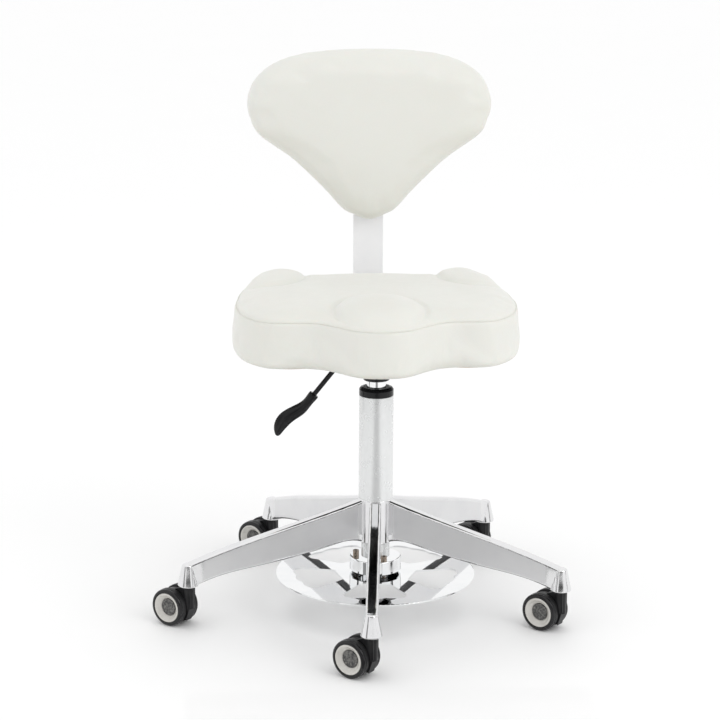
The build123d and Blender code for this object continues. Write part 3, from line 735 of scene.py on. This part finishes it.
@dataclass
class SeatCushion(Cushion):
    """Seat with three raised pads at its lobes."""

    # Each pad: middle across and along the seat, half width, half length, height.
    pads: tuple[tuple[float, float, float, float, float], ...] = (
        (0.0, -0.068, 0.064, 0.080, 0.0135), (0.160, 0.158, 0.062, 0.068, 0.0090),
        (-0.160, 0.158, 0.062, 0.068, 0.0090))
    crease: float = 2.6 * MM
    crease_width: float = 5.5 * MM

    def moulded(self, place: Vector, normal: Vector, rim: float) -> Vector:
        """Raises the pads out of the top and presses a crease round each."""
        top = eased(place.z, self.high.z - 9 * MM, self.high.z) * eased(normal.z, 0.1, 0.7)
        if top <= 0.0:
            return Vector((0, 0, 0))
        rise = 0.0
        inner = eased(rim, 10 * MM, 34 * MM)
        for x, y, half_width, half_length, height in self.pads:
            away = math.hypot((place.x - x) / half_width, (place.y - y) / half_length)
            if away < 1.0:
                rise += height * (1 - away ** 2.6) ** 0.8 * eased(rim, 0.0, 20 * MM)
            rise -= self.crease * inner * math.exp(-((away - 1.0) * half_width / self.crease_width) ** 2)
        return Vector((0, 0, rise * top))


@dataclass
class BackCushion(Cushion):
    """Backrest pad with a gently crowned front."""

    def moulded(self, place: Vector, normal: Vector, rim: float) -> Vector:
        """Pulls the front slightly in where the vinyl is stretched towards the lower tip."""
        front = eased(-normal.y, 0.3, 0.9)
        pull = math.exp(-((place.z - 0.60) / 0.03) ** 2) * eased(rim, 5 * MM, 40 * MM)
        return Vector((0, 1.2 * MM * front * pull, 0))


SEAT_SHARES = (
    (0.0, -1.0), (0.18, -0.95), (0.32, -0.77), (0.42, -0.655), (0.53, -0.615), (0.65, -0.625),
    (0.775, -0.595), (0.885, -0.46), (0.965, -0.25), (1.0, 0.03), (0.99, 0.26), (0.957, 0.49),
    (0.894, 0.72), (0.803, 0.905), (0.69, 0.995), (0.56, 0.99), (0.46, 0.97), (0.29, 0.98), (0.0, 1.0))
BACK_SHARES = (
    (0.0, 0.0), (0.115, 0.02), (0.225, 0.068), (0.31, 0.142), (0.45, 0.25), (0.63, 0.368),
    (0.785, 0.44), (0.915, 0.51), (0.975, 0.60), (0.997, 0.70), (0.955, 0.80), (0.865, 0.875),
    (0.74, 0.93), (0.58, 0.967), (0.39, 0.988), (0.0, 1.0))


@dataclass
class Upholstery:
    """The seat and backrest cushions, their seams and the lining under the seat."""

    seat_front: float = 0.158
    seat_rear: float = 0.207
    seat_half: float = 0.208
    back_half: float = 0.185
    lining_inset: float = 26 * MM
    lining_thickness: float = 0.5 * MM
    staple_count: int = 44

    def seat(self) -> SeatCushion:
        """Sizes of the seat cushion, from the frame's box."""
        low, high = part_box("seat_cushion")
        base, top = low.z - 1.6 * MM, high.z
        half = tuple((x * self.seat_half, y * (self.seat_front if y < 0 else self.seat_rear))
                     for x, y in SEAT_SHARES)
        profile = ((16, 0.0), (11, 0.2), (5.8, 2.0), (2.6, 6.0), (1.4, 12.0), (0.8, 22.0), (0.5, 40.0),
                   (0.8, 55.0), (1.3, 64.0), (2.0, 69.0), (3.4, 71.6), (7.0, 73.6), (12.0, 74.8),
                   (18.0, 75.6))
        crown = ((0.93, 1.3), (0.82, 2.1), (0.66, 2.6), (0.48, 3.0), (0.3, 3.2), (0.12, 3.2), (0.0, 3.2))
        return SeatCushion(
            name="seat_pad", node="seat_cushion", facing=Facing.UP, half_outline=half, centre=(0.0, 0.035),
            profile=tuple((inset * MM, base + rise * MM) for inset, rise in profile),
            crown_rings=tuple((share, top + rise * MM) for share, rise in crown),
            seam_level=top - 5.2 * MM)

    def back(self) -> BackCushion:
        """Sizes of the backrest cushion, from the frame's box."""
        low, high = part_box("backrest_cushion")
        tall = high.z - low.z
        half = tuple((x * self.back_half, low.z + z * tall) for x, z in BACK_SHARES)
        profile = ((12, 46.5), (7, 46.2), (3.5, 44.5), (1.6, 40.0), (1.2, 34.0), (1.3, 26.0), (2.2, 19.0),
                   (4.6, 12.5), (8.6, 7.5), (14.0, 4.2), (21.0, 2.2))
        crown = ((0.95, 1.4), (0.85, 0.2), (0.7, -1.0), (0.5, -2.0), (0.3, -2.6), (0.12, -2.8), (0.0, -2.8))
        return BackCushion(
            name="backrest_pad", node="backrest_cushion", facing=Facing.FRONT, half_outline=half,
            centre=(0.0, low.z + 0.60 * tall),
            profile=tuple((inset * MM, low.y + depth * MM) for inset, depth in profile),
            crown_rings=tuple((share, low.y + depth * MM) for share, depth in crown),
            crown_from=21 * MM, seam_level=high.y - 6.5 * MM)

    def lining(self, seat: SeatCushion) -> bpy.types.Object:
        """Thin black cloth under the seat board, with its folded hem.

        Args:
            seat: The seat cushion, for its outline.

        Returns:
            The cloth.
        """
        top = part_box("seat_cushion")[0].z - 1.4 * MM
        middle = Vector(seat.centre)
        hem = drawn_in(seat.outline, self.lining_inset)
        bm = bmesh.new()
        levels = ((0.0, -0.6), (0.5, -0.6), (0.90, -0.6), (0.93, -1.1), (0.985, -1.1), (1.0, -0.7),
                  (1.0, 0.0), (0.0, 0.0))
        loft(bm, [[seat.lifted(middle.lerp(p, share), top + drop * MM) for p in hem]
                  for share, drop in levels])
        sealed(bm)
        return piece("seat_lining", bm, LINING)

    def staples(self, seat: SeatCushion) -> bpy.types.Object:
        """Row of staples that hold the lining's hem."""
        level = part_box("seat_cushion")[0].z - 2.5 * MM
        loop = smooth_loop([tuple(p) for p in drawn_in(seat.outline, self.lining_inset + 5 * MM)[::2]],
                           self.staple_count)
        bm = bmesh.new()
        for i, point in enumerate(loop):
            along = loop[(i + 1) % len(loop)] - loop[i - 1]
            turn = Matrix.Rotation(math.atan2(along.y, along.x), 4, "Z")
            size = Matrix.Diagonal((9 * MM, 1.1 * MM, 0.6 * MM, 1.0))
            stand = Matrix.Translation((point.x, point.y, level))
            made = bmesh.ops.create_cube(bm, size=1.0, matrix=stand @ turn @ size)
            edges = {e for v in made["verts"] for e in v.link_edges}
            bmesh.ops.bevel(bm, geom=list(edges), offset=0.2 * MM, affect="EDGES", segments=1,
                            profile=0.5, material=-1)
        return piece("seat_staples", bm, STAPLE)

    def build(self) -> None:
        """Builds and dresses every upholstered piece."""
        seat = self.seat()
        pad = seat.build()
        seat.dress(pad, seat.sewn(pad, 3 * MM))
        back = self.back()
        rest = back.build()
        back.dress(rest, back.sewn(rest, 0.0))
        for made, slot in ((self.lining(seat), "black_plastic"), (self.staples(seat), "bearing_steel")):
            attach(made, "seat")


# ---- Casters ----

@dataclass
class Wheel:
    """One wheel of a twin caster: a grooved tyre on a dished rim, both turned about the axle."""

    body: str
    prefix: str
    side: str
    centre: Vector
    axle: Vector
    steps: int = 72
    tyre_profile: tuple[tuple[float, float], ...] = (
        (7.1, 21.6), (7.1, 26.2), (7.5, 27.0), (8.3, 27.4), (10.0, 27.5), (13.0, 27.5), (14.6, 27.45),
        (15.0, 27.2), (15.1, 26.7), (15.5, 26.6), (15.7, 27.0), (16.1, 27.35), (17.2, 27.35),
        (18.6, 27.0), (19.6, 26.2), (20.2, 25.1), (20.5, 23.9), (20.5, 22.6), (20.2, 21.9), (19.6, 21.6))
    rim_profile: tuple[tuple[float, float], ...] = (
        (7.1, 3.2), (7.1, 21.5), (19.6, 21.55), (20.2, 21.4), (20.45, 20.8), (20.5, 20.2), (20.35, 19.2),
        (19.7, 18.5), (18.2, 17.2), (16.4, 15.2), (15.3, 13.8), (14.6, 12.9), (12.7, 12.7), (12.7, 3.2))
    shoulder_from: float = 15.4

    def turned(self, profile: Sequence[tuple[float, float]]) -> bmesh.types.BMesh:
        """Spins a closed profile of (along the axle, radius) pairs into a ring.

        Args:
            profile: Pairs in millimetres.

        Returns:
            The ring's mesh.
        """
        outward = self.axle if self.side == "left" else -self.axle
        rise = Vector((0, 0, 1))
        bm = bmesh.new()
        verts = [bm.verts.new(self.centre + outward * along * MM + rise * radius * MM)
                 for along, radius in profile]
        edges = [bm.edges.new((verts[i - 1], verts[i])) for i in range(len(verts))]
        bmesh.ops.spin(bm, geom=verts + edges, cent=self.centre, axis=outward, dvec=(0, 0, 0),
                       angle=2 * math.pi, steps=self.steps, use_merge=True, use_duplicate=False)
        sealed(bm)
        return bm

    def tyre(self) -> bpy.types.Object:
        """The tyre: satin tread, groove and glossy shoulder."""
        bm = self.turned(self.tyre_profile)
        for face in bm.faces:
            along = abs((face.calc_center_median() - self.centre).dot(self.axle)) / MM
            face.material_index = 0 if along > self.shoulder_from else 1
        return piece(f"{self.prefix}_grooved_tyre_{self.side}", bm, GLOSS_TYRE, TREAD)

    def rim(self) -> bpy.types.Object:
        """The dished rim with its rounded lip."""
        name = f"{self.prefix}_dished_rim_{self.side}"
        return piece(name, self.turned(self.rim_profile), SLOT_FINISHES["wheel_grey"])

    def build(self) -> None:
        """Builds the wheel and puts it in the place of its plain nodes."""
        for made, node, slot in ((self.tyre(), "tyre", "tyre_black"), (self.rim(), "rim", "wheel_grey")):
            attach(made, self.body)
            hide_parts(f"{self.prefix}_{node}_{self.side}")


@dataclass
class Casters:
    """The ten wheels of the five casters, placed by their rolling joints."""

    joint_suffix: str = "_roll"

    def build(self) -> int:
        """Builds every wheel and returns how many there are."""
        count = 0
        for joint in frame["joints"]:
            if not joint["name"].endswith(self.joint_suffix):
                continue
            _, number, side, _ = joint["name"].split("_")
            Wheel(joint["child"], f"caster_{number}", side, Vector(joint["pos_m"]),
                  Vector(joint["axis"]).normalized()).build()
            count += 1
        return count


# ---- Column and release lever ----

@dataclass
class FootSprings:
    """Three coil springs between the foot disc and its cup."""

    circle: float = 28.5 * MM
    first_angle: float = -67.5
    coil_radius: float = 5.1 * MM
    wire_radius: float = 0.72 * MM
    turns: float = 7.5
    steps_per_turn: int = 22

    def path(self, angle: float) -> list[Vector]:
        """Middle line of one spring's wire, with closed end turns."""
        low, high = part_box("foot_springs")
        bottom, top = low.z + self.wire_radius, high.z - self.wire_radius
        centre = Vector((self.circle * math.cos(angle), self.circle * math.sin(angle), 0.0))
        count = int(self.turns * self.steps_per_turn)
        points = []
        for i in range(count + 1):
            share = i / count
            level = (bottom, top)[i > 0]
            if 0 < share < 1:
                level = bottom + (top - bottom) * eased(share, -0.12, 1.12)
            turn = 2 * math.pi * self.turns * share
            reach = Vector((math.cos(turn), math.sin(turn), 0.0)) * self.coil_radius
            points.append(centre + reach + Vector((0.0, 0.0, level)))
        return points

    def build(self) -> bpy.types.Object:
        """Builds the three springs as one piece."""
        bm = bmesh.new()
        for k in range(3):
            path = self.path(math.radians(self.first_angle + 120 * k))
            tube_along(bm, path, self.wire_radius, 8, closed=False)
        sealed(bm, 1e-7)
        springs = piece("foot_coils", bm, SLOT_FINISHES["spring_steel"])
        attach(springs, "base")
        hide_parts("foot_springs")
        return springs


@dataclass
class LeverGrip:
    """Moulded grip of the release lever: a collar that runs out into a ridged, leaf-shaped paddle."""

    mouth: Vector = field(default_factory=lambda: Vector((-89.64, 0.0, 327.24)) * MM)
    slope: float = math.radians(51.6)
    # Each station: distance from the mouth, lower and upper edge, half thickness, squareness of the section.
    stations: tuple[tuple[float, float, float, float, float], ...] = (
        (0.0, -6.6, 6.6, 6.6, 1.0), (0.4, -7.3, 7.3, 7.3, 1.0), (1.4, -7.5, 7.5, 7.5, 1.0),
        (7.0, -7.5, 7.5, 7.5, 1.0),
        (9.0, -7.1, 7.1, 7.1, 1.0), (14.0, -6.9, 6.9, 7.0, 1.0), (20.0, -7.1, 7.6, 7.0, 1.05),
        (27.0, -7.4, 10.4, 7.0, 1.15), (34.0, -6.6, 13.9, 6.9, 1.3), (41.0, -4.4, 17.1, 6.7, 1.42),
        (48.0, -1.9, 19.8, 6.4, 1.5), (55.0, -0.3, 21.2, 6.0, 1.55), (62.0, 0.4, 21.0, 5.6, 1.55),
        (68.5, 0.8, 19.2, 5.1, 1.5), (74.0, 0.8, 16.3, 4.6, 1.4), (78.5, 0.9, 12.4, 3.9, 1.3),
        (81.2, 1.8, 9.0, 3.0, 1.2), (82.4, 3.4, 7.0, 1.8, 1.0))
    sides: int = 32

    def ring(self, along: float, low: float, high: float, thick: float, ridge: float) -> list[Vector]:
        """Points of one section of the grip."""
        out = Vector((-math.cos(self.slope), 0.0, -math.sin(self.slope)))
        rise = Vector((-math.sin(self.slope), 0.0, math.cos(self.slope)))
        middle = self.mouth + (out * along + rise * (low + high) / 2) * MM
        half = (high - low) / 2
        points = []
        for k in range(self.sides):
            turn = 2 * math.pi * k / self.sides
            c, s = math.cos(turn), math.sin(turn)
            up = math.copysign(abs(c) ** ridge, c) * half
            out_of_plane = math.copysign(abs(s) ** ridge, s) * thick
            points.append(middle + (rise * up + Vector((0, 1, 0)) * out_of_plane) * MM)
        return points

    def build(self) -> bpy.types.Object:
        """Builds the grip and puts it on the lever."""
        rings = [self.ring(*station) for station in self.stations]
        ends = [sum(ring, Vector()) / self.sides for ring in (rings[0], rings[-1])]
        bm = bmesh.new()
        loft(bm, [[ends[0]] * self.sides, *rings, [ends[1]] * self.sides])
        sealed(bm)
        grip = piece("lever_grip", bm, SLOT_FINISHES["black_plastic"])
        finer = grip.modifiers.new("finer", "SUBSURF")
        finer.levels = finer.render_levels = 1
        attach(grip, "lever")
        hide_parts("lever_handle")
        return grip


@dataclass
class FrameParts:
    """The carried-over parts, each in the finish of its material slot."""

    unmirrored: tuple[str, ...] = ("column_tube", "back_bar")

    def dress(self) -> int:
        """Gives every node its finish and returns how many there are."""
        for part in frame["record"]["subparts"]:
            for holder in frame["nodes"][part["node"]].material_slots:
                holder.material = SLOT_FINISHES[part["material_slot"]].shared()
        for node in self.unmirrored:
            frame["nodes"][node].visible_glossy = False
        return len(frame["record"]["subparts"])


# ---- Studio ----

@dataclass
class Studio:
    """Pale floor, soft light, dark cards that the bright metal mirrors, and the camera."""

    floor_size: float = 60.0
    sky: float = 1.02
    camera_place: Colour = (-0.21134, -3.45528, 1.27803)
    camera_target: Colour = (-0.02382, 0.00146, 0.3769)
    camera_roll: float = math.radians(0.28)
    lens: float = 124.25

    def floor(self) -> None:
        """Builds the floor."""
        bm = bmesh.new()
        bmesh.ops.create_grid(bm, x_segments=1, y_segments=1, size=self.floor_size / 2)
        sheet = Sheet("studio_floor")
        tone = sheet.blend(sheet.noise(3.0), (0.975, 0.975, 0.975), (0.965, 0.965, 0.965))
        sheet.finish(Base_Color=tone, Roughness=sheet.noise(40.0).ramp(0.3, 0.7, 0.6, 0.7))
        made = piece("studio_floor", bm)
        made.data.materials.append(sheet.material)
        made.location.z = -0.0002

    def card(self, name: str, place: Colour, target: Colour, size: tuple[float, float], tone: float) -> None:
        """Stands a card that only mirror reflections see.

        Args:
            name: Name of the card.
            place: Its middle.
            target: Point that it faces.
            size: Width and height.
            tone: Its brightness.
        """
        bm = bmesh.new()
        bmesh.ops.create_grid(bm, x_segments=1, y_segments=1, size=0.5)
        made = piece(name, bm)
        sheet = Sheet(name)
        glow = sheet.node("ShaderNodeEmission", {}, {"Color": (tone, tone, tone, 1.0), "Strength": 1.0})
        sheet.node_output(glow)
        made.data.materials.append(sheet.material)
        look = (Vector(target) - Vector(place)).to_track_quat("Z", "Y")
        made.matrix_world = Matrix.LocRotScale(Vector(place), look, Vector((*size, 1.0)))
        made.visible_camera = made.visible_diffuse = made.visible_shadow = False
        made.visible_transmission = False

    def lamp(self, name: str, place: Colour, target: Colour, size: float, power: float) -> None:
        """Hangs a soft square lamp.

        Args:
            name: Name of the lamp.
            place: Its middle.
            target: Point that it shines at.
            size: Side of the square.
            power: Watts.
        """
        data = bpy.data.lights.new(name, "AREA")
        data.size = size
        data.energy = power
        made = bpy.data.objects.new(name, data)
        made.location = place
        made.rotation_mode = "QUATERNION"
        made.rotation_quaternion = (Vector(target) - Vector(place)).to_track_quat("-Z", "Y")
        bpy.context.scene.collection.objects.link(made)

    def sky_light(self) -> None:
        """Even white light from everywhere."""
        world = bpy.data.worlds.new("studio")
        world.use_nodes = True
        world.node_tree.nodes["Background"].inputs[0].default_value = (1.0, 1.0, 1.0, 1.0)
        world.node_tree.nodes["Background"].inputs[1].default_value = self.sky
        bpy.context.scene.world = world

    def camera(self) -> None:
        """Stands the camera, turned a little about its own view."""
        data = bpy.data.cameras.new("camera")
        data.lens = self.lens
        data.sensor_width = 36.0
        made = bpy.data.objects.new("camera", data)
        bpy.context.scene.collection.objects.link(made)
        look = Vector(self.camera_target) - Vector(self.camera_place)
        aim = look.to_track_quat("-Z", "Y").to_matrix().to_4x4()
        roll = Matrix.Rotation(self.camera_roll, 4, "Z")
        made.matrix_world = Matrix.Translation(self.camera_place) @ aim @ roll
        bpy.context.scene.camera = made

    def build(self) -> None:
        """Sets up the whole studio."""
        self.floor()
        self.sky_light()
        self.lamp("key_light", (2.1, -2.0, 2.2), (0.0, 0.0, 0.4), 1.6, 14.0)
        self.lamp("top_light", (-0.3, 0.4, 3.2), (0.0, 0.0, 0.3), 2.4, 2.0)
        self.card("dark_card_front", (-0.2, -4.6, 1.35), (0.0, 0.0, 0.2), (5.2, 1.9), 0.06)
        self.card("grey_card_left", (-2.6, -2.0, 0.5), (0.0, 0.0, 0.3), (0.9, 2.6), 0.30)
        self.card("grey_card_right", (2.9, -0.7, 0.5), (0.0, 0.0, 0.3), (0.7, 2.6), 0.42)
        self.card("grey_card_floor", (0.0, -1.62, 0.002), (0.0, -1.62, 1.0), (0.55, 2.6), 0.30)
        self.camera()
        bpy.context.scene.view_settings.view_transform = "Standard"


def main() -> None:
    """Builds every part of the stool and the studio, in order."""
    logging.basicConfig(level=logging.INFO, format="%(name)s: %(message)s")
    LOG.info("carried-over parts dressed: %d", FrameParts().dress())
    Upholstery().build()
    LOG.info("cushions, seams and lining built")
    LOG.info("wheels built: %d", Casters().build())
    LOG.info("springs built: %s", FootSprings().build().name)
    LOG.info("lever grip built: %s", LeverGrip().build().name)
    Studio().build()
    LOG.info("studio set up")


if __name__ == "__main__":
    main()
